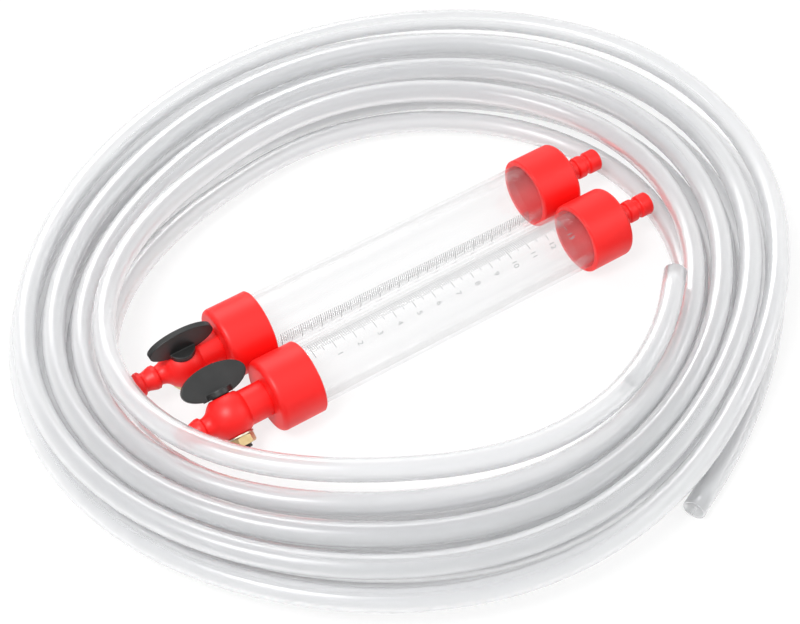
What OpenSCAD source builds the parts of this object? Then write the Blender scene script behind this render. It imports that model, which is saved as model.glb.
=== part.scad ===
// Hose water level, put away: two graduated vials with stopcocks, lying side by side inside the wound hose.
// Each vial lies along X, valve end towards -X. The floor is z = 0.
// All lengths are in millimetres and all angles in degrees.

/* [Vial tube] */
// Outer diameter of the clear tube
tube_od = 28; // [24:0.5:32]
// Wall of the clear tube
tube_wall = 1.5; // [1:0.1:3]
// Length of tube that shows between the two caps
tube_visible = 141; // [100:1:200]

/* [End caps] */
// Wall of a cap around the tube
cap_wall = 2.4; // [1.5:0.1:4]
// Length of a cap, closed face to open rim
cap_len = 21; // [16:0.5:30]
// Thickness of a cap's closed end
cap_end_wall = 3; // [2:0.1:5]
// Rounding of a cap's closed edge
cap_edge_r = 2.5; // [1:0.1:3]
// Radial clearance between a tube and its caps
cap_fit = 0.1; // [0.05:0.05:0.3]
// Thickness of the gasket under each end of the tube
gasket_t = 1.5; // [1:0.1:3]
// Bore that the water runs through in caps, gaskets and valve
way_d = 6; // [4:0.1:7]

/* [Outlet barb] */
// Length of the hose barb on the outlet cap
outlet_len = 20; // [19:0.1:24]
// Diameter of its two bands
outlet_band_d = 10.5; // [10:0.1:12]
// Diameter between its bands
outlet_waist_d = 8.6; // [8:0.1:8.8]
// Distance from the cap to the start of the first band
outlet_band_1 = 7.4; // [6:0.1:8.4]
// Length of the first band
outlet_band_len = 4.6; // [3:0.1:4.8]
// Distance from the cap to the start of the second band, which ends at the tip
outlet_band_2 = 13.8; // [13.5:0.1:15]
// Rounding of the bands' shoulders
band_round = 0.9; // [0.3:0.1:0.9]

/* [Valve body] */
// Distance from the cap's closed face to the middle of the ball
neck_len = 17; // [15:0.5:22]
// Outer diameter of the neck between cap and ball
neck_od = 16; // [14:0.5:17]
// Radius of the ball
ball_r = 10.5; // [10:0.1:12]
// Radius of the hollow curve from the ball to the barb
ball_fillet = 5; // [3:0.5:6]
// Distance from the ball's middle to each of its two flats
flat_half = 8.9; // [8.5:0.1:9.3]
// Diameter of the cap's spigot inside the neck
spigot_d = 10.4; // [9:0.1:11.5]
// Length of the cap's spigot
spigot_len = 8; // [5:0.5:9]
// Radial clearance around the spigot
spigot_fit = 0.1; // [0.05:0.05:0.2]

/* [Valve barb] */
// Distance from the ball's middle to the tip of the hose barb
barb_reach = 24.7; // [24:0.1:30]
// Diameter of its ridges
barb_ridge_d = 10.8; // [9.6:0.1:12]
// Diameter between its ridges
barb_waist_d = 8.8; // [8.2:0.1:9.2]
// Distance from the ball's middle to the top of the first ridge
barb_ridge_1 = 14.8; // [13.5:0.1:15.5]
// Distance from the ball's middle to the top of the second ridge
barb_ridge_2 = 21.7; // [20.5:0.1:22.5]
// Length of the straight land on top of each ridge
ridge_land = 1.5; // [1:0.1:2]
// Length of the slope behind the first ridge
ridge_slope = 3.4; // [2.5:0.1:3.8]

/* [Plug] */
// Diameter of the plug's taper at the upper flat
plug_top_d = 7.8; // [7.2:0.1:8.4]
// Diameter of the plug's taper at the lower flat
plug_low_d = 6.8; // [6.6:0.1:7]
// Radial clearance around the plug
plug_fit = 0.06; // [0.03:0.01:0.1]
// Bore through the plug
plug_way_d = 4; // [3:0.1:5]
// Diameter of the collar on the upper flat
collar_d = 12; // [10:0.5:14]
// Thickness of the collar
collar_t = 2.6; // [2:0.1:3.4]
// Gap between the collar and the upper flat
collar_gap = 0.3; // [0.2:0.05:0.5]
// Half length of the oval wing
wing_half_len = 15; // [12:0.1:15]
// Half height of the oval wing
wing_half_h = 7.2; // [6:0.1:7.4]
// Distance from the ball's middle to the wing's middle
wing_mid = 15.9; // [15:0.1:16]
// Thickness of the wing
wing_t = 2.6; // [2:0.1:3.2]
// Width of the stop tab beside the collar
tab_w = 2.4; // [1.5:0.1:3]
// How far the stop tab stands out from the collar
tab_out = 1.6; // [1:0.1:2]
// Diameter of the threaded end
stud_d = 6; // [5:0.1:6.4]
// Distance from the ball's middle to the end of the stud
stud_reach = 15.5; // [15:0.1:15.8]
// Pitch of the thread
thread_pitch = 1; // [0.8:0.05:1.2]
// Depth of the thread
thread_depth = 0.3; // [0.1:0.05:0.5]

/* [Washer and nut] */
// Outer diameter of the washer
washer_d = 12; // [10:0.5:12.5]
// Thickness of the washer
washer_t = 0.8; // [0.5:0.1:1]
// Gap between the washer and the lower flat
washer_gap = 0.15; // [0.1:0.05:0.3]
// Width of the nut across its flats
nut_af = 10; // [9:0.1:10]
// Thickness of the nut
nut_t = 4; // [3:0.1:4.4]
// Radial clearance of washer and nut on the stud
stud_fit = 0.05; // [0.03:0.01:0.1]

/* [Layout] */
// Clear space between the caps of the two vials
vial_gap = 1.8; // [1.5:0.1:5]
// How far the front vial is shifted towards +X
front_shift = 3.5; // [0:0.1:4]
// Roll of the back valve about the vial's axis
roll_back = -2; // [-2:1:0]
// Roll of the front valve about the vial's axis
roll_front = 56; // [50:1:60]

/* [Hose] */
// Outer diameter of the hose
hose_od = 10; // [9:0.1:10]
// Wall of the hose
hose_wall = 1; // [0.8:0.1:2]
// Middle of the coil along X
coil_x = 3.5; // [1:0.1:3.5]
// Middle of the coil along Y
coil_y = 2.3; // [0:0.1:4]
// Mean radius of the pile
pile_r = 141.6; // [141.6:0.1:155]
// Half the width that the hose's centre line covers across the pile
pile_half_w = 25.1; // [24.9:0.1:25.2]
// Height from one layer to the next
layer_step = 10.5; // [10.5:0.1:12]
// Loops in one layer
loops_per_layer = 3.5; // [3.46:0.01:3.51]
// Angle of the outer end about the coil's middle
start_angle = -72; // [-80:1:-65]
// How far the outer end stands out from the pile
outer_flare = 6; // [0:0.5:10]
// How far the inner end stands in from the pile
inner_flare = 4.5; // [0:0.5:6]

/* [Hidden] */
$fn = 96;

back = 0;
front = 1;
axis_h = tube_od / 2 + cap_fit + cap_wall;
vial_pitch = 2 * axis_h + vial_gap;
cup_depth = cap_len - cap_end_wall;
tube_in = cup_depth - gasket_t;
cap_face_x = neck_len;
tube_x = cap_face_x + cap_end_wall + gasket_t;
tube_len = tube_visible + 2 * tube_in;
outlet_face_x = cap_face_x + 2 * cap_len + tube_visible;
vial_len = barb_reach + outlet_face_x + outlet_len;
back_ball_x = barb_reach - (vial_len + front_shift) / 2;
rim_chamfer = 0.5;
tip_taper = 0.6;
ridge_edge = 0.8;
cut = 1;

// The wave of loops: the centre line's radius swings once across the pile in each layer.
rings_per_loop = 24;
coil_rings = 266;
hose_sides = 6;
layers_wound = 3;
climb_loops = 0.5;
flare_loops = 0.2;
// Each wave round the pile: its height, how many times it comes in a loop and the angle of a crest.
radius_waves = [[10.4, 2, -2], [1.7, 3, 36], [1.9, 4, -4]];
width_waves = [[4.7, 1, 61], [2.5, 2, 50], [2.4, 3, 3]];

// Place something made in a vial's own frame, whose origin is the middle of the ball.
module vial_place(which) {
    translate([
        back_ball_x + (which == front ? front_shift : 0),
        (which == front ? -1 : 1) * vial_pitch / 2,
        axis_h
    ])
        children();
}

// Turn something about the vial's axis, with the plug's axis starting along Z.
module valve_place(which) {
    vial_place(which)
        rotate([-(which == front ? roll_front : roll_back), 0, 0])
            children();
}

// A solid turned about X from points of [distance along X, radius].
module turned_x(points) {
    rotate([0, 90, 0])
        rotate_extrude()
            polygon([for (p = points) [p[1], p[0]]]);
}

// The steep side of a ridge with its edge broken, and its straight land, whose far end is at top.
function ridge_points(top, land, low_r, high_r) = [
    [top - land - ridge_edge, low_r],
    [top - land - ridge_edge, high_r - ridge_edge],
    [top - land, high_r],
    [top, high_r]
];

// Half section of the valve's barb: the hollow curve that leaves the ball, two ridges and the tip.
function valve_barb_points() = let (
    low_r = barb_waist_d / 2,
    high_r = barb_ridge_d / 2,
    curve_x = sqrt(pow(ball_r + ball_fillet, 2) - pow(low_r + ball_fillet, 2)),
    leaves_at = atan2(curve_x, low_r + ball_fillet),
    curve_end = barb_ridge_1 - ridge_land - 1.5 * ridge_edge
) [
    [0, 0],
    [0, low_r + ball_fillet * (1 - cos(leaves_at))],
    for (step = [8:-1:1])
        let (a = leaves_at * step / 8, x = curve_x - ball_fillet * sin(a))
            if (x < curve_end) [x, low_r + ball_fillet * (1 - cos(a))],
    [min(curve_x, curve_end), low_r],
    each ridge_points(barb_ridge_1, ridge_land, low_r, high_r),
    [barb_ridge_1 + ridge_slope, low_r],
    each ridge_points(barb_ridge_2, ridge_land, low_r, high_r),
    [barb_reach - tip_taper, low_r - tip_taper / 2],
    [barb_reach, low_r - 1.5 * tip_taper],
    [barb_reach, 0]
];

// A straight band with round shoulders.
function band_points(from, to, high_r) = [
    for (a = [0:15:90]) [from + band_round * (1 - cos(a)), high_r - band_round * (1 - sin(a))],
    for (a = [90:-15:0]) [to - band_round * (1 - cos(a)), high_r - band_round * (1 - sin(a))]
];

// Half section of the outlet's barb: a waist, two bands with a groove between them, and a flat tip.
function outlet_barb_points() = let (low_r = outlet_waist_d / 2, high_r = outlet_band_d / 2) [
    [-cap_end_wall / 2, 0],
    [-cap_end_wall / 2, low_r],
    [outlet_band_1, low_r],
    each band_points(outlet_band_1, outlet_band_1 + outlet_band_len, high_r),
    [outlet_band_1 + outlet_band_len, low_r],
    [outlet_band_2, low_r],
    each band_points(outlet_band_2, outlet_len, high_r),
    [outlet_len, 0]
];

// Half section of a cap's cup, closed face at x = 0 and open rim at x = cap_len.
function cup_points() = let (r = axis_h) [
    [0, 0],
    for (a = [0:15:90]) [cap_edge_r * (1 - cos(a)), r - cap_edge_r * (1 - sin(a))],
    [cap_len - rim_chamfer, r],
    [cap_len, r - rim_chamfer],
    [cap_len, r - cap_wall],
    [cap_end_wall, r - cap_wall],
    [cap_end_wall, 0]
];

module tube(which) {
    color([0.93, 0.95, 0.96, 0.45])
        vial_place(which)
            translate([tube_x, 0, 0])
                rotate([0, 90, 0])
                    difference() {
                        cylinder(d = tube_od, h = tube_len);
                        translate([0, 0, -cut])
                            cylinder(d = tube_od - 2 * tube_wall, h = tube_len + 2 * cut);
                    }
}

// The valve end cap carries the spigot that the valve body is pushed on.
module valve_end_cap(which) {
    color([0.9, 0.16, 0.14])
        vial_place(which)
            translate([cap_face_x, 0, 0])
                difference() {
                    union() {
                        turned_x(cup_points());
                        translate([-spigot_len, 0, 0])
                            rotate([0, 90, 0])
                                cylinder(d = spigot_d, h = spigot_len + cap_end_wall / 2);
                    }
                    translate([-spigot_len - cut, 0, 0])
                        rotate([0, 90, 0])
                            cylinder(d = way_d, h = spigot_len + cap_end_wall + 2 * cut);
                }
}

// The outlet end cap faces the other way and ends in a moulded barb.
module outlet_end_cap(which) {
    color([0.9, 0.16, 0.14])
        vial_place(which)
            translate([outlet_face_x, 0, 0])
                difference() {
                    union() {
                        mirror([1, 0, 0])
                            turned_x(cup_points());
                        turned_x(outlet_barb_points());
                    }
                    translate([-cap_end_wall - cut, 0, 0])
                        rotate([0, 90, 0])
                            cylinder(d = way_d, h = cap_end_wall + outlet_len + 2 * cut);
                }
}

// A flat ring between the end of the tube and the end wall of the cap.
module gasket(which, x) {
    color([0.7, 0.12, 0.12])
        vial_place(which)
            translate([x, 0, 0])
                rotate([0, 90, 0])
                    difference() {
                        cylinder(d = tube_od, h = gasket_t);
                        translate([0, 0, -cut])
                            cylinder(d = way_d, h = gasket_t + 2 * cut);
                    }
}

// Neck, ball with two flats and hose barb in one piece, bored along X and taper bored for the plug.
module valve_body(which) {
    socket_depth = spigot_len + spigot_fit;
    color([0.9, 0.16, 0.14])
        valve_place(which)
            difference() {
                union() {
                    intersection() {
                        sphere(r = ball_r);
                        cube([3 * ball_r, 3 * ball_r, 2 * flat_half], center = true);
                    }
                    rotate([0, 90, 0])
                        cylinder(d = neck_od, h = neck_len);
                    mirror([1, 0, 0])
                        turned_x(valve_barb_points());
                }
                translate([-barb_reach - cut, 0, 0])
                    rotate([0, 90, 0])
                        cylinder(d = way_d, h = barb_reach + neck_len + 2 * cut);
                translate([neck_len - socket_depth, 0, 0])
                    rotate([0, 90, 0])
                        cylinder(d = spigot_d + 2 * spigot_fit, h = socket_depth + cut);
                taper(flat_half + cut, plug_fit);
            }
}

// The plug's taper between the same distance above and below the ball's middle.
module taper(half, extra) {
    slope = (plug_top_d - plug_low_d) / (4 * flat_half);
    middle_r = (plug_top_d + plug_low_d) / 4;
    translate([0, 0, -half])
        cylinder(r1 = middle_r - slope * half + extra, r2 = middle_r + slope * half + extra, h = 2 * half);
}

// Half section of the threaded end, from the lower flat down to the tip.
function stud_points() = let (r = stud_d / 2, turns = floor((stud_reach - flat_half) / thread_pitch)) [
    [0, -flat_half + cut],
    [0, -stud_reach],
    [r - thread_depth, -stud_reach],
    for (i = [0:turns - 1]) each [
        [r, -stud_reach + (i + 0.5) * thread_pitch],
        [r - thread_depth, -stud_reach + (i + 1) * thread_pitch]
    ],
    [r - thread_depth, -flat_half + cut]
];

// Taper, collar, oval wing and threaded end, with the water bore across. Open when the wing lies along the vial.
module valve_plug(which) {
    collar_z = flat_half + collar_gap;
    color([0.2, 0.2, 0.2])
        valve_place(which)
            difference() {
                union() {
                    taper(flat_half, 0);
                    translate([0, 0, flat_half - cut])
                        cylinder(d = plug_top_d, h = collar_gap + collar_t);
                    translate([0, 0, collar_z])
                        cylinder(d = collar_d, h = collar_t);
                    translate([-collar_d / 2 - tab_out, -tab_w / 2, collar_z])
                        cube([tab_out + collar_d / 2 - plug_top_d / 2, tab_w, collar_t]);
                    intersection() {
                        rotate([90, 0, 0])
                            linear_extrude(height = wing_t, center = true)
                                polygon([for (a = [0:5:355])
                                    [wing_half_len * cos(a), wing_mid + wing_half_h * sin(a)]]);
                        translate([-wing_half_len, -wing_t, collar_z])
                            cube([2 * wing_half_len, 2 * wing_t, 2 * wing_mid]);
                    }
                    rotate_extrude()
                        polygon(stud_points());
                }
                rotate([0, 90, 0])
                    cylinder(d = plug_way_d, h = 2 * plug_top_d, center = true);
            }
}

module plug_washer(which) {
    color([0.75, 0.72, 0.62])
        valve_place(which)
            translate([0, 0, -flat_half - washer_gap - washer_t])
                difference() {
                    cylinder(d = washer_d, h = washer_t);
                    translate([0, 0, -cut])
                        cylinder(d = stud_d + 2 * stud_fit, h = washer_t + 2 * cut);
                }
}

// Hexagon nut with its corners turned off at both faces.
module plug_nut(which) {
    corner_r = nut_af / sqrt(3);
    bevel = (corner_r - nut_af / 2) * 0.6;
    color([0.78, 0.64, 0.3])
        valve_place(which)
            translate([0, 0, -flat_half - washer_gap - washer_t - nut_t])
                difference() {
                    intersection() {
                        cylinder(r = corner_r, h = nut_t, $fn = 6);
                        rotate_extrude()
                            polygon([
                                [0, 0],
                                [nut_af / 2, 0],
                                [corner_r, bevel],
                                [corner_r, nut_t - bevel],
                                [nut_af / 2, nut_t],
                                [0, nut_t]
                            ]);
                    }
                    translate([0, 0, -cut])
                        cylinder(d = stud_d + 2 * stud_fit, h = nut_t + 2 * cut);
                }
}

// The pile isn't round: its mean radius and its width change with the angle about its middle.
function waves(list, a) = [for (w = list) w[0] * cos(w[1] * (a - w[2]))] * [for (w = list) 1];
function mean_r(a) = pile_r + waves(radius_waves, a);
function half_w(a) = pile_half_w + waves(width_waves, a);

// Where the centre line lies across the pile after some loops: 1 at the outer edge, -1 at the inner edge.
// It swings at a steady rate, and the last piece of hose lies along the inner edge.
function swing(loops) = let (x = loops / loops_per_layer, k = floor(x), f = x - k)
    x >= layers_wound ? -1 : (k % 2 == 0 ? 1 - 2 * f : 2 * f - 1);

// Layers climbed after some loops, each in the half loop where the swing turns back.
function layers_up(loops) = let (steps = [for (k = [1:layers_wound])
    min(1, max(0, (loops - k * loops_per_layer) / climb_loops + 0.5))]) steps * [for (s = steps) 1];

// The hose's centre line, with its loose ends eased out and in, and one straight diameter at each end.
loops_in_all = coil_rings / rings_per_loop;
function ease(x) = pow(max(0, 1 - x / flare_loops), 2);
function line_point(loops) = let (
    a = start_angle + 360 * loops,
    r = mean_r(a) + swing(loops) * half_w(a) + outer_flare * ease(loops)
        - inner_flare * ease(loops_in_all - loops)
) [coil_x + r * cos(a), coil_y + r * sin(a), hose_od / 2 + layer_step * layers_up(loops)];
wound_line = [for (i = [0:coil_rings]) line_point(i / rings_per_loop)];
function unit(v) = v / norm(v);
hose_line = [
    wound_line[0] + hose_od * unit(wound_line[0] - wound_line[1]),
    each wound_line,
    wound_line[coil_rings] + hose_od * unit(wound_line[coil_rings] - wound_line[coil_rings - 1])
];
line_steps = len(hose_line) - 1;
hose_length = [for (i = [1:line_steps]) norm(hose_line[i] - hose_line[i - 1])] * [for (i = [1:line_steps]) 1];

// The least gap from one loop to the others, measured from ring to ring at most two rings aside.
least_gap = min([
    for (i = [0:line_steps])
        for (turn = [1:1:(line_steps - i) / rings_per_loop + 1])
            for (side = [-2:2])
                let (j = i + turn * rings_per_loop + side)
                    if (j <= line_steps) norm(hose_line[i] - hose_line[j])
]) - hose_od;
echo(hose_length = hose_length, least_gap = least_gap);  // hose_coil

// One ring of points round the centre line, square to it, flat side down.
function hose_ring(i, r) = let (
    along = unit(hose_line[min(i + 1, line_steps)] - hose_line[max(i - 1, 0)]),
    aside = unit(cross(along, [0, 0, 1])),
    above = cross(aside, along)
) [for (s = [0:hose_sides - 1]) hose_line[i] + r * (cos(360 * s / hose_sides) * aside
    + sin(360 * s / hose_sides) * above)];

// Two triangles for each side between ring i and the next, of a skin whose points start at first.
function skin_faces(first, flip) = [
    for (i = [0:line_steps - 1])
        for (s = [0:hose_sides - 1])
            let (
                a = first + i * hose_sides + s,
                b = first + i * hose_sides + (s + 1) % hose_sides,
                c = a + hose_sides,
                d = b + hose_sides
            )
                each (flip ? [[a, b, d], [a, d, c]] : [[a, d, b], [a, c, d]])
];

// The flat ring at a cut end, between the outer and the inner skin.
function end_faces(outer, inner, flip) = [
    for (s = [0:hose_sides - 1])
        let (t = (s + 1) % hose_sides)
            each (flip ? [[outer + s, outer + t, inner + t], [outer + s, inner + t, inner + s]]
                : [[outer + s, inner + t, outer + t], [outer + s, inner + s, inner + t]])
];

module hose_coil() {
    ring_count = line_steps + 1;
    inner_first = ring_count * hose_sides;
    last = line_steps * hose_sides;
    color([0.86, 0.89, 0.9, 0.6])
        polyhedron(
            points = [
                for (i = [0:line_steps]) each hose_ring(i, hose_od / 2),
                for (i = [0:line_steps]) each hose_ring(i, hose_od / 2 - hose_wall)
            ],
            faces = [
                each skin_faces(0, false),
                each skin_faces(inner_first, true),
                each end_faces(0, inner_first, true),
                each end_faces(last, inner_first + last, false)
            ],
            convexity = 12
        );
}

tube(back);  // tube_a
valve_end_cap(back);  // valve_end_cap_a
outlet_end_cap(back);  // outlet_end_cap_a
gasket(back, cap_face_x + cap_end_wall);  // valve_cap_gasket_a
gasket(back, tube_x + tube_len);  // outlet_cap_gasket_a
valve_body(back);  // valve_body_a
valve_plug(back);  // valve_plug_a
plug_washer(back);  // plug_washer_a
plug_nut(back);  // plug_nut_a
tube(front);  // tube_b
valve_end_cap(front);  // valve_end_cap_b
outlet_end_cap(front);  // outlet_end_cap_b
gasket(front, cap_face_x + cap_end_wall);  // valve_cap_gasket_b
gasket(front, tube_x + tube_len);  // outlet_cap_gasket_b
valve_body(front);  // valve_body_b
valve_plug(front);  // valve_plug_b
plug_washer(front);  // plug_washer_b
plug_nut(front);  // plug_nut_b
hose_coil();
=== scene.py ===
# Hose water level, put away inside its wound hose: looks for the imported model.
import math

import bpy
from mathutils import Matrix, Vector


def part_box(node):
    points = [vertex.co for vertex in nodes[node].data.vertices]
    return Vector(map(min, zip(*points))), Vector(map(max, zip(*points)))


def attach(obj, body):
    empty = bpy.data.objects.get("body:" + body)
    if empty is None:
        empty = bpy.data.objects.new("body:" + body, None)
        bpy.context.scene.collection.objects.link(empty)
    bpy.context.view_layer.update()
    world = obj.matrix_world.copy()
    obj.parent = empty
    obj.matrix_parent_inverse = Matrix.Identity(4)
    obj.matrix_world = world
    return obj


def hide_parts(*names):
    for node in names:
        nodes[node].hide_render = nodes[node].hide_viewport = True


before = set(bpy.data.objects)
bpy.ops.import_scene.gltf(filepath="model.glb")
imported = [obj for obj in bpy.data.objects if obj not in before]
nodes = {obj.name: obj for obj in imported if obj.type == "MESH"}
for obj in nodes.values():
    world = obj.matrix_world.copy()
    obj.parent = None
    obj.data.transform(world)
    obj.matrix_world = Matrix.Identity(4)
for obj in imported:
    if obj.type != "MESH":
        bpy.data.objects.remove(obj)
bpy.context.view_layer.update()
scene = bpy.context.scene
mm = 0.001
print("frame loaded:", len(nodes), "nodes")


# Camera: the photograph's viewing angle. Angles in degrees, lengths in mm.
shot = {
    "azimuth": -32.454,
    "elevation": 51.829,
    "distance": 772.8,
    "roll": -0.344,
    "lens": 78.55,
    "sensor": 36.0,
    "target": (-3.75, -5.5, 10.3),
}


def placeCamera(s):
    az = math.radians(s["azimuth"])
    el = math.radians(s["elevation"])
    back = Vector((math.sin(az) * math.cos(el), -math.cos(az) * math.cos(el), math.sin(el)))
    right = Vector((0, 0, 1)).cross(back).normalized()
    up = back.cross(right)
    roll = math.radians(s["roll"])
    tiltedRight = right * math.cos(roll) + up * math.sin(roll)
    tiltedUp = up * math.cos(roll) - right * math.sin(roll)
    data = bpy.data.cameras.new("photoCamera")
    data.lens = s["lens"]
    data.sensor_width = s["sensor"]
    data.clip_start = 0.01
    camera = bpy.data.objects.new("photoCamera", data)
    turn = Matrix((tiltedRight, tiltedUp, back)).transposed().to_4x4()
    camera.matrix_world = Matrix.Translation((Vector(s["target"]) + back * s["distance"]) * mm) @ turn
    scene.collection.objects.link(camera)
    scene.camera = camera


placeCamera(shot)
print("camera placed")


# Hose: the same route as its solid, in mm and degrees.
hose = {
    "outer": 10.0,
    "wall": 1.0,
    "middle": (3.5, 2.3),
    "pileRadius": 141.6,
    "pileHalfWidth": 25.1,
    "radiusWaves": [(10.4, 2, -2), (1.7, 3, 36), (1.9, 4, -4)],  # height, times a loop, angle of a crest
    "widthWaves": [(4.7, 1, 61), (2.5, 2, 50), (2.4, 3, 3)],
    "layerStep": 10.5,
    "loopsPerLayer": 3.5,
    "layers": 3,
    "climbLoops": 0.5,
    "startAngle": -72.0,
    "loops": 266 / 24,
    "outerFlare": 6.0,
    "innerFlare": 4.5,
    "flareLoops": 0.2,
    "ringsPerLoop": 96,
    "sides": 24,
    "seenBore": 9,  # rings of bore modelled at each end
}


def hosePoint(loops):
    h = hose
    angle = h["startAngle"] + 360 * loops

    def waves(rows):
        return sum(height * math.cos(math.radians(times * (angle - crest))) for height, times, crest in rows)

    meanRadius = h["pileRadius"] + waves(h["radiusWaves"])
    halfWidth = h["pileHalfWidth"] + waves(h["widthWaves"])
    layer = loops / h["loopsPerLayer"]
    part = layer - math.floor(layer)
    if layer >= h["layers"]:
        swing = -1.0
    elif math.floor(layer) % 2 == 0:
        swing = 1 - 2 * part
    else:
        swing = 2 * part - 1
    climbed = sum(
        min(1, max(0, (loops - k * h["loopsPerLayer"]) / h["climbLoops"] + 0.5))
        for k in range(1, h["layers"] + 1)
    )

    def ease(x):
        return max(0, 1 - x / h["flareLoops"]) ** 2

    radius = meanRadius + swing * halfWidth + h["outerFlare"] * ease(loops)
    radius -= h["innerFlare"] * ease(h["loops"] - loops)
    a = math.radians(angle)
    return Vector((
        h["middle"][0] + radius * math.cos(a),
        h["middle"][1] + radius * math.sin(a),
        h["outer"] / 2 + h["layerStep"] * climbed,
    )) * mm


def hoseRoute():
    steps = round(hose["loops"] * hose["ringsPerLoop"])
    wound = [hosePoint(i / hose["ringsPerLoop"]) for i in range(steps + 1)]
    tail = hose["outer"] * mm
    first = wound[0] + (wound[0] - wound[1]).normalized() * tail
    last = wound[-1] + (wound[-1] - wound[-2]).normalized() * tail
    return [first, *wound, last]


def meshPiece(name, verts, faces, smooth=True):
    data = bpy.data.meshes.new(name)
    data.from_pydata([tuple(v) for v in verts], [], faces)
    data.validate()
    data.update()
    if smooth:
        data.shade_smooth()
    piece = bpy.data.objects.new(name, data)
    scene.collection.objects.link(piece)
    return piece


def ringsAlong(route, radius, sides):
    verts = []
    last = len(route) - 1
    for i, middle in enumerate(route):
        along = (route[min(i + 1, last)] - route[max(i - 1, 0)]).normalized()
        aside = along.cross(Vector((0, 0, 1))).normalized()
        above = aside.cross(along)
        for s in range(sides):
            turn = 2 * math.pi * s / sides
            verts.append(middle + (aside * math.cos(turn) + above * math.sin(turn)) * radius)
    return verts


def makeHose():
    route = hoseRoute()
    sides = hose["sides"]
    travelled = [0.0]
    for near, far in zip(route, route[1:]):
        travelled.append(travelled[-1] + (far - near).length)
    verts = []
    faces = []
    corners = []  # the way round, 0 to 1, and the metres along, for each corner of each face

    def addFace(ids, arounds, metres):
        faces.append(ids)
        corners.extend((around / sides, metre) for around, metre in zip(arounds, metres))

    def addSkin(points, metres, radius, outward):  # returns the ids of its first and last ring
        first = len(verts)
        verts.extend(ringsAlong(points, radius, sides))
        for i in range(len(points) - 1):
            for s in range(sides):
                here = first + i * sides
                near = (here + s, here + (s + 1) % sides)
                far = (near[0] + sides, near[1] + sides)
                if outward:
                    addFace((*near, far[1], far[0]), (s, s + 1, s + 1, s), (metres[i],) * 2 + (metres[i + 1],) * 2)
                else:
                    ids = (near[0], far[0], far[1], near[1])
                    addFace(ids, (s, s, s + 1, s + 1), (metres[i], metres[i + 1], metres[i + 1], metres[i]))
        return first, len(verts) - sides

    def addRim(outer, inner, metre, towardsEnd):
        for s in range(sides):
            t = (s + 1) % sides
            if towardsEnd:
                addFace((outer + s, outer + t, inner + t, inner + s), (s, s + 1, s + 1, s), (metre,) * 4)
            else:
                addFace((outer + s, inner + s, inner + t, outer + t), (s, s, s + 1, s + 1), (metre,) * 4)

    outerStart, outerEnd = addSkin(route, travelled, hose["outer"] / 2 * mm, True)
    bore = (hose["outer"] / 2 - hose["wall"]) * mm
    seen = hose["seenBore"]  # the bore shows at the cut ends only, so it is closed further in
    start, floorStart = addSkin(route[:seen], travelled[:seen], bore, False)
    faces.append(tuple(floorStart + s for s in reversed(range(sides))))
    corners.extend((s / sides, travelled[seen]) for s in reversed(range(sides)))
    floorEnd, end = addSkin(route[-seen:], travelled[-seen:], bore, False)
    faces.append(tuple(floorEnd + s for s in range(sides)))
    corners.extend((s / sides, travelled[-seen]) for s in range(sides))
    addRim(outerStart, start, 0.0, False)
    addRim(outerEnd, end, travelled[-1], True)
    piece = meshPiece("hose", verts, faces)
    around = piece.data.uv_layers.new(name="aroundAndAlong")
    for corner, value in zip(around.data, corners):
        corner.uv = value
    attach(piece, "level")
    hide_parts("hose_coil")
    print("hose made, length", round(travelled[-1], 3))
    return piece


hosePiece = makeHose()


# Node maths: a number on its way through a tree of nodes.
class Number:
    def __init__(self, tree, socket):
        self.tree = tree
        self.socket = socket

    def maths(self, operation, *values):
        node = self.tree.nodes.new("ShaderNodeMath")
        node.operation = operation
        for i, value in enumerate(values):
            if isinstance(value, Number):
                self.tree.links.new(value.socket, node.inputs[i])
            else:
                node.inputs[i].default_value = value
        return Number(self.tree, node.outputs[0])

    def __add__(self, other):
        return self.maths("ADD", self, other)

    def __sub__(self, other):
        return self.maths("SUBTRACT", self, other)

    def __mul__(self, other):
        return self.maths("MULTIPLY", self, other)

    def __truediv__(self, other):
        return self.maths("DIVIDE", self, other)

    def __pow__(self, other):
        return self.maths("POWER", self, other)

    def sine(self):
        return self.maths("SINE", self)

    def cosine(self):
        return self.maths("COSINE", self)

    def clamped(self):
        return self.maths("MAXIMUM", self.maths("MINIMUM", self, 1.0), 0.0)


# A tree of nodes under construction. add() makes any node: its settings first, then its sockets.
class Bench:
    def __init__(self, tree):
        self.tree = tree
        tree.nodes.clear()

    def add(self, kind, settings=None, sockets=None, out=0):
        node = self.tree.nodes.new(kind)
        for key, value in (settings or {}).items():
            if key == "stops":
                ramp = node.color_ramp
                while len(ramp.elements) < len(value):
                    ramp.elements.new(0.5)
                for element, (spot, shade) in zip(ramp.elements, value):
                    element.position = spot
                    element.color = (*shade, 1) if len(shade) == 3 else shade
            else:
                setattr(node, key, value)
        for key, value in (sockets or {}).items():
            target = node.inputs[key]
            for item in value if isinstance(value, list) else [value]:
                if isinstance(item, Number):
                    self.tree.links.new(item.socket, target)
                else:
                    target.default_value = item
        return Number(self.tree, node.outputs[out]) if node.outputs else None


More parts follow.
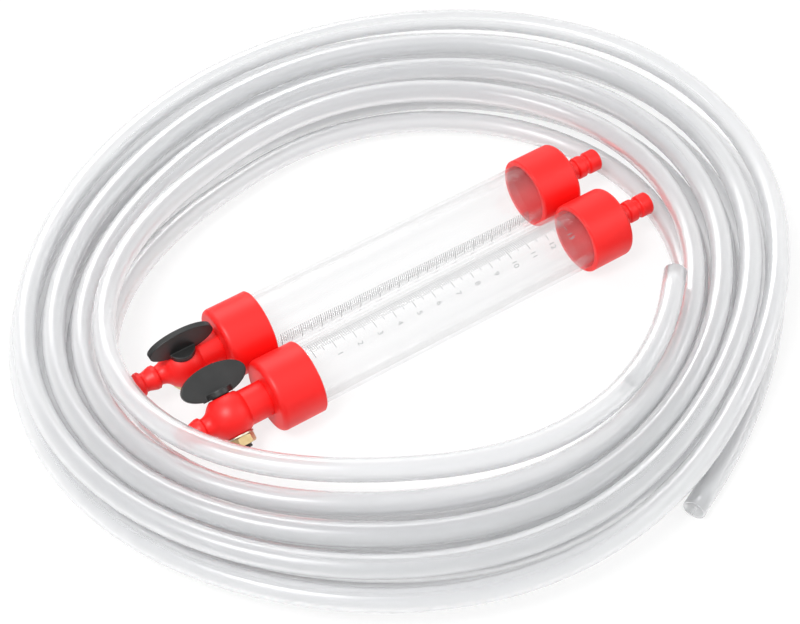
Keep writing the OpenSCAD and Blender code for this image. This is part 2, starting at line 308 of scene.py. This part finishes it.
# A material on the bench.
class Finish(Bench):
    def __init__(self, name):
        self.material = bpy.data.materials.new(name)
        self.material.use_nodes = True
        super().__init__(self.material.node_tree)
        self.output = self.tree.nodes.new("ShaderNodeOutputMaterial")

    def place(self):
        return self.add("ShaderNodeTexCoord", out="Object")

    def stretched(self, scale):
        return self.add("ShaderNodeVectorMath", {"operation": "MULTIPLY"}, {0: self.place(), 1: scale})

    def noise(self, scale, detail=3.0, rough=0.5, vector=None):
        sockets = {"Scale": scale, "Detail": detail, "Roughness": rough}
        sockets["Vector"] = vector or self.place()
        return self.add("ShaderNodeTexNoise", sockets=sockets)

    def blend(self, factor, first, second):
        sockets = {"Factor": factor, "A": first, "B": second}
        return self.add("ShaderNodeMix", {"data_type": "RGBA"}, sockets, out=2)

    def softEdge(self, radius):
        return self.add("ShaderNodeBevel", {"samples": 6}, {"Radius": radius})

    def bump(self, height, distance, strength=1.0, edge=None):
        sockets = {"Height": height, "Distance": distance, "Strength": strength}
        if edge:
            sockets["Normal"] = edge
        return self.add("ShaderNodeBump", sockets=sockets)

    def skin(self, **sockets):
        named = {key.replace("_", " "): value for key, value in sockets.items()}
        shader = self.add("ShaderNodeBsdfPrincipled", sockets=named)
        self.tree.links.new(shader.socket, self.output.inputs["Surface"])
        return shader


def colour(red, green, blue, alpha=1.0):
    def linear(c):
        c = c / 255
        return c / 12.92 if c <= 0.04045 else ((c + 0.055) / 1.055) ** 2.4

    return (linear(red), linear(green), linear(blue), alpha)


# For each finish, rough is its least roughness and uneven is how much rougher its cloud makes it.
# The red glow stands for light that comes through the thin red walls.
redPlastic = {
    "base": (234, 20, 16),
    "deep": (204, 8, 10),
    "cloud": 60.0,
    "clearOfCloud": 0.35,
    "rough": 0.38,
    "uneven": 0.12,
    "grain": 900.0,
    "grainDepth": 0.00002,
    "grainStrength": 0.25,
    "edge": 0.0006,
    "glow": (225, 0, 8),
    "glowStrength": 0.1,
}
blackPlastic = {
    "base": (24, 25, 25),
    "pale": (38, 39, 39),
    "cloud": 140.0,
    "cloudGain": 1.6,
    "clearOfCloud": 0.5,
    "rough": 0.32,
    "uneven": 0.15,
    "grain": 1400.0,
    "grainDepth": 0.00003,
    "grainStrength": 0.3,
    "edge": 0.0008,
}
gasketRubber = {
    "base": (232, 30, 50),
    "pale": (246, 92, 104),
    "cloud": 700.0,
    "rough": 0.4,
    "uneven": 0.2,
    "grainDepth": 0.00003,
    "grainStrength": 0.4,
    # The gaskets' glow is painted light: it stands for light that comes through the thin red walls of the caps.
    "glow": (240, 50, 72),
    "glowStrength": 0.5,
}
metalCloud = {"scale": 500.0, "uneven": 0.2, "depth": 0.00003, "strength": 0.4, "edge": 0.0003}
scaleInk = {
    "dark": (122, 124, 126),
    "pale": (162, 164, 166),
    "wear": 900.0,
    "rough": 0.4,
    "uneven": 0.2,
    "cover": 1.1,
    "leastCover": 0.2,
}
# rim and line are painted shade: the colour towards the outline, and that of the grey line for the inside of the
# wall.
clearHose = {
    "pale": (228, 229, 230),
    "deep": (212, 213, 215),
    "rim": (210, 211, 213),
    "line": (204, 206, 208),
    "facing": 0.58,
    "edge": 0.8,
    "streakAlpha": 0.12,
    "through": 0.5,
    "rough": 0.17,
    "relief": 0.02,
    "haze": 60.0,
    "streaksAround": 1.2,
    "streaksAlong": 1.2,
}
# rim and line are painted shade: the colour towards the outline, and that of the grey line for the inside of the
# wall.
clearTube = {
    "pale": (238, 239, 240),
    "deep": (212, 213, 215),
    "rim": (208, 209, 211),
    "line": (204, 206, 208),
    "facing": 0.03,
    "edge": 0.4,
    "streakAlpha": 0.09,
    "through": 0.5,
    "rough": 0.02,
    "relief": 0.03,
    "haze": 300.0,
    "streakWidth": 0.004,
    "streakStretch": 0.03,
}


def makeRed():
    look = redPlastic
    f = Finish("redPlastic")
    cloud = f.noise(look["cloud"], 4.0)
    grain = f.noise(look["grain"], 2.0)
    mottle = (cloud - look["clearOfCloud"]).clamped()
    f.skin(
        Base_Color=f.blend(mottle, colour(*look["base"]), colour(*look["deep"])),
        Roughness=cloud * look["uneven"] + look["rough"],
        Normal=f.bump(grain, look["grainDepth"], look["grainStrength"], f.softEdge(look["edge"])),
        Emission_Color=colour(*look["glow"]),
        Emission_Strength=look["glowStrength"],
    )
    return f.material


def makeBlack():
    look = blackPlastic
    f = Finish("blackPlastic")
    cloud = f.noise(look["cloud"], 4.0)
    grain = f.noise(look["grain"], 3.0)
    mottle = (cloud * look["cloudGain"] - look["clearOfCloud"]).clamped()
    f.skin(
        Base_Color=f.blend(mottle, colour(*look["base"]), colour(*look["pale"])),
        Roughness=cloud * look["uneven"] + look["rough"],
        Normal=f.bump(grain, look["grainDepth"], look["grainStrength"], f.softEdge(look["edge"])),
    )
    return f.material


# Clear plastic: see-through face on and closer towards its outline, with drawn streaks along it.
# Its colour holds painted shade: darker towards its outline, and a soft grey line where the surface leans this far
# from face on, which stands for the inside of the wall.
paintedWallShade = {"from": 0.3, "at": 0.42, "to": 0.54, "strength": 0.45, "alpha": 0.2}
clearPlastic = {
    "rimPower": 3.0,
    "streakGain": 2.4,
    "clearOfStreaks": 0.7,
    "uneven": 0.1,
    "streakDepth": 0.0003,
    "bend": 1.5,
}


def finishClear(f, look, streak):
    lean = f.add("ShaderNodeLayerWeight", sockets={"Blend": 0.5}, out="Facing")
    rim = lean ** clearPlastic["rimPower"]
    dark = (0, 0, 0)
    stops = [(paintedWallShade["from"], dark), (paintedWallShade["at"], (1, 1, 1)), (paintedWallShade["to"], dark)]
    # Painted shade: a soft grey line for the inside of the wall, where the surface leans this far from face on.
    line = f.add("ShaderNodeValToRGB", {"stops": stops}, {"Fac": lean}) * paintedWallShade["strength"]
    drawn = (streak * clearPlastic["streakGain"] - clearPlastic["clearOfStreaks"]).clamped()
    body = f.blend(drawn, colour(*look["pale"]), colour(*look["deep"]))
    body = f.blend(line, body, colour(*look["line"]))
    alpha = rim * (look["edge"] - look["facing"]) + drawn * look["streakAlpha"]
    alpha = alpha + line * paintedWallShade["alpha"] + look["facing"]
    # Painted shade: the colour turns darker towards the outline.
    f.skin(
        Base_Color=f.blend(rim, body, colour(*look["rim"])),
        Roughness=f.noise(look["haze"]) * clearPlastic["uneven"] + look["rough"],
        Alpha=alpha.clamped(),
        Normal=f.bump(streak, clearPlastic["streakDepth"], look["relief"]),
        IOR=clearPlastic["bend"],
        Transmission_Weight=look["through"],
    )
    return f.material


def makeTubeClear():
    f = Finish("clearTube")
    drawn = f.stretched((clearTube["streakStretch"], 1.0, 1.0))
    streak = f.noise(0.5 / clearTube["streakWidth"], 1.5, vector=drawn)
    return finishClear(f, clearTube, streak)


def makeHoseClear():
    f = Finish("clearHose")
    corner = f.add("ShaderNodeUVMap", {"uv_map": "aroundAndAlong"})
    around = f.add("ShaderNodeSeparateXYZ", sockets={0: corner}, out=0) * (2 * math.pi)
    along = f.add("ShaderNodeSeparateXYZ", sockets={0: corner}, out=1) * clearHose["streaksAlong"]
    drawn = f.add("ShaderNodeCombineXYZ", sockets={0: around.cosine(), 1: around.sine(), 2: along})
    streak = f.noise(clearHose["streaksAround"], 1.5, vector=drawn)
    return finishClear(f, clearHose, streak)


def makeMetal(name, base, pale, rough):
    f = Finish(name)
    cloud = f.noise(metalCloud["scale"], 4.0)
    f.skin(
        Base_Color=f.blend(cloud, colour(*base), colour(*pale)),
        Metallic=1.0,
        Roughness=cloud * metalCloud["uneven"] + rough,
        Normal=f.bump(cloud, metalCloud["depth"], metalCloud["strength"], f.softEdge(metalCloud["edge"])),
    )
    return f.material


def makeRubber():
    look = gasketRubber
    f = Finish("gasketRubber")
    cloud = f.noise(look["cloud"], 4.0)
    f.skin(
        Base_Color=f.blend(cloud, colour(*look["base"]), colour(*look["pale"])),
        Roughness=cloud * look["uneven"] + look["rough"],
        Normal=f.bump(cloud, look["grainDepth"], look["grainStrength"]),
        # Painted light: the emission makes the gaskets glow.
        Emission_Color=colour(*look["glow"]),
        Emission_Strength=look["glowStrength"],
    )
    return f.material


def makeInk():
    look = scaleInk
    f = Finish("scaleInk")
    worn = f.noise(look["wear"], 3.0)
    f.skin(
        Base_Color=f.blend(worn, colour(*look["dark"]), colour(*look["pale"])),
        Roughness=worn * look["uneven"] + look["rough"],
        Alpha=(worn * look["cover"] + look["leastCover"]).clamped(),
    )
    return f.material


def dress(nodeName, material):
    mesh = nodes[nodeName].data
    mesh.materials.clear()
    mesh.materials.append(material)


red = makeRed()
black = makeBlack()
ink = makeInk()
tubeClear = makeTubeClear()
hoseClear = makeHoseClear()
yellowMetal = makeMetal("yellowZinc", (205, 170, 110), (235, 214, 168), 0.22)
washerMetal = makeMetal("washerZinc", (190, 178, 150), (226, 220, 205), 0.3)
rubber = makeRubber()

for side in ("a", "b"):
    dress("tube_" + side, tubeClear)
    for part in ("valve_end_cap_", "outlet_end_cap_", "valve_body_"):
        dress(part + side, red)
    dress("valve_plug_" + side, black)
    dress("plug_washer_" + side, washerMetal)
    dress("plug_nut_" + side, yellowMetal)
    for part in ("valve_cap_gasket_", "outlet_cap_gasket_"):
        dress(part + side, rubber)
hosePiece.data.materials.append(hoseClear)
print("materials done")


# Printed scale: fine lines and numbers laid flat, then wrapped round each tube. Angles count from the top towards +Y.
levelScale = {
    "centimetres": 13,
    "firstLine": 3.0,  # from the rim of the valve end cap
    "lineWidth": 0.3,
    "longLine": 8.0,
    "midLine": 6.4,
    "shortLine": 4.9,
    "lift": 0.06,
    "farEdge": {"a": -67.0, "b": 21.0},
    "numberHeight": 3.6,
    "numberGap": 3.0,  # from the long lines to the middle of the numbers
}


def scaleTree():
    tree = bpy.data.node_groups.new("printedScale", "GeometryNodeTree")
    bench = Bench(tree)
    sizes = ("tubeRadius", "startX", "axisY", "axisZ", "farEdge", "lineWidth", "longLine", "midLine", "shortLine")
    for name in (*sizes, "numberHeight", "numberGap", "lift"):
        tree.interface.new_socket(name=name, in_out="INPUT", socket_type="NodeSocketFloat")
    tree.interface.new_socket(name="inkedScale", in_out="OUTPUT", socket_type="NodeSocketGeometry")
    given = tree.nodes.new("NodeGroupInput")
    size = {socket.name: Number(tree, socket) for socket in given.outputs if socket.name}

    def lines(count, spacing, length):  # far ends in line, near ends as long as the line is
        spots = bench.add("GeometryNodeMeshLine", {"mode": "OFFSET"}, {"Count": count, "Offset": (spacing, 0, 0)})
        sheet = bench.add(
            "GeometryNodeMeshGrid",
            sockets={"Size X": size["lineWidth"], "Size Y": length, "Vertices X": 2, "Vertices Y": 6},
        )
        shift = bench.add("ShaderNodeCombineXYZ", sockets={1: length * -0.5})
        line = bench.add("GeometryNodeTransform", sockets={"Geometry": sheet, "Translation": shift})
        return bench.add("GeometryNodeInstanceOnPoints", sockets={"Points": spots, "Instance": line})

    def number(value):
        glyphs = bench.add(
            "GeometryNodeStringToCurves",
            {"align_x": "CENTER", "align_y": "MIDDLE"},
            {"String": str(value), "Size": size["numberHeight"]},
        )
        outlines = bench.add("GeometryNodeRealizeInstances", sockets={0: glyphs})
        filled = bench.add("GeometryNodeFillCurve", sockets={0: outlines})
        shift = bench.add(
            "ShaderNodeCombineXYZ",
            sockets={0: value * 10 * mm, 1: (size["longLine"] + size["numberGap"]) * -1.0},
        )
        sockets = {"Geometry": filled, "Translation": shift, "Rotation": (0, 0, math.radians(-90))}
        return bench.add("GeometryNodeTransform", sockets=sockets)

    cm = levelScale["centimetres"]
    rows = [
        lines(cm + 1, 10 * mm, size["longLine"]),
        lines(2 * cm + 1, 5 * mm, size["midLine"]),
        lines(10 * cm + 1, mm, size["shortLine"]),
    ]
    rows += [number(value) for value in range(1, cm + 1)]
    flat = bench.add("GeometryNodeJoinGeometry", sockets={0: rows})
    flat = bench.add("GeometryNodeRealizeInstances", sockets={0: flat})
    spot = bench.add("GeometryNodeInputPosition")
    along = bench.add("ShaderNodeSeparateXYZ", sockets={0: spot}, out=0)
    across = bench.add("ShaderNodeSeparateXYZ", sockets={0: spot}, out=1)
    angle = across / size["tubeRadius"] + size["farEdge"]
    reach = size["tubeRadius"] + size["lift"]
    wrapped = bench.add(
        "ShaderNodeCombineXYZ",
        sockets={
            0: along + size["startX"],
            1: angle.sine() * reach + size["axisY"],
            2: angle.cosine() * reach + size["axisZ"],
        },
    )
    laid = bench.add("GeometryNodeSetPosition", sockets={"Geometry": flat, "Position": wrapped})
    inked = bench.add("GeometryNodeSetMaterial", sockets={"Geometry": laid, "Material": ink})
    output = tree.nodes.new("NodeGroupOutput")
    tree.links.new(inked.socket, output.inputs[0])
    return tree


def makeScale(side, tree):
    low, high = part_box("tube_" + side)
    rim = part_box("valve_end_cap_" + side)[1][0]
    values = {
        "tubeRadius": (high[2] - low[2]) / 2,
        "startX": rim + levelScale["firstLine"] * mm,
        "axisY": (low[1] + high[1]) / 2,
        "axisZ": (low[2] + high[2]) / 2,
        "farEdge": math.radians(levelScale["farEdge"][side]),
    }
    for name in ("lineWidth", "longLine", "midLine", "shortLine", "numberHeight", "numberGap", "lift"):
        values[name] = levelScale[name] * mm
    holder = meshPiece("scaleHolder_" + side, [(0, 0, 0)], [])
    modifier = holder.modifiers.new("printedScale", "NODES")
    modifier.node_group = tree
    for item in tree.interface.items_tree:
        if item.in_out == "INPUT":
            modifier[item.identifier] = values[item.name]
    evaluated = holder.evaluated_get(bpy.context.evaluated_depsgraph_get())
    data = bpy.data.meshes.new_from_object(evaluated)
    data.name = "scale_" + side
    piece = bpy.data.objects.new("scale_" + side, data)
    scene.collection.objects.link(piece)
    bpy.data.objects.remove(holder)
    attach(piece, "level")
    print("scale", side, "made,", len(data.polygons), "faces")


scaleNodes = scaleTree()
for side in ("a", "b"):
    makeScale(side, scaleNodes)


# Studio: white floor and surroundings, soft lamps.
studio = {
    "floorSize": 6.0,
    "floorColour": (250, 250, 250),
    "floorGlow": 0.8,  # how much of the seen floor is its own white; the rest keeps the shadow
    "skyLight": 0.62,
    "lamps": [
        {"name": "keyLamp", "at": (-0.5, -0.15, 1.0), "size": 0.4, "power": 8.5},
        {"name": "fillLamp", "at": (0.8, -0.5, 0.8), "size": 0.8, "power": 2.5},
        {"name": "backLamp", "at": (0.1, 0.9, 0.7), "size": 0.7, "power": 3.0},
    ],
}


def seenRay(bench):  # 1 for what the camera sees, straight on or in gloss and glass
    path = bench.tree.nodes.new("ShaderNodeLightPath")
    names = ("Is Camera Ray", "Is Glossy Ray", "Is Transmission Ray")
    rays = [Number(bench.tree, path.outputs[name]) for name in names]
    return (rays[0] + rays[1] + rays[2]).clamped()


def makeStudio():
    world = bpy.data.worlds.new("studio")
    scene.world = world
    world.use_nodes = True
    bench = Bench(world.node_tree)
    strength = seenRay(bench) * (1 - studio["skyLight"]) + studio["skyLight"]
    sky = bench.add("ShaderNodeBackground", sockets={"Color": (1, 1, 1, 1), "Strength": strength})
    bench.add("ShaderNodeOutputWorld", sockets={"Surface": sky})

    f = Finish("floorPaint")
    speck = f.noise(400.0)
    paint = f.add(
        "ShaderNodeBsdfPrincipled",
        sockets={"Base Color": colour(*studio["floorColour"]), "Roughness": speck * 0.1 + 0.75},
    )
    white = f.add("ShaderNodeEmission", sockets={"Color": (1, 1, 1, 1)})
    glow = seenRay(f) * studio["floorGlow"]
    mixed = f.add("ShaderNodeMixShader", sockets={0: glow, 1: paint, 2: white})
    f.tree.links.new(mixed.socket, f.output.inputs["Surface"])
    half = studio["floorSize"] / 2
    below = -0.0002
    corners = [(-half, -half, below), (half, -half, below), (half, half, below), (-half, half, below)]
    floor = meshPiece("floor", corners, [(0, 1, 2, 3)], smooth=False)
    floor.data.materials.append(f.material)

    for lamp in studio["lamps"]:
        data = bpy.data.lights.new(lamp["name"], "AREA")
        data.shape = "DISK"
        data.size = lamp["size"]
        data.energy = lamp["power"]
        light = bpy.data.objects.new(lamp["name"], data)
        light.location = lamp["at"]
        light.rotation_euler = (-Vector(lamp["at"])).to_track_quat("-Z", "Y").to_euler()
        scene.collection.objects.link(light)


makeStudio()
scene.view_settings.view_transform = "Standard"
print("studio lit")
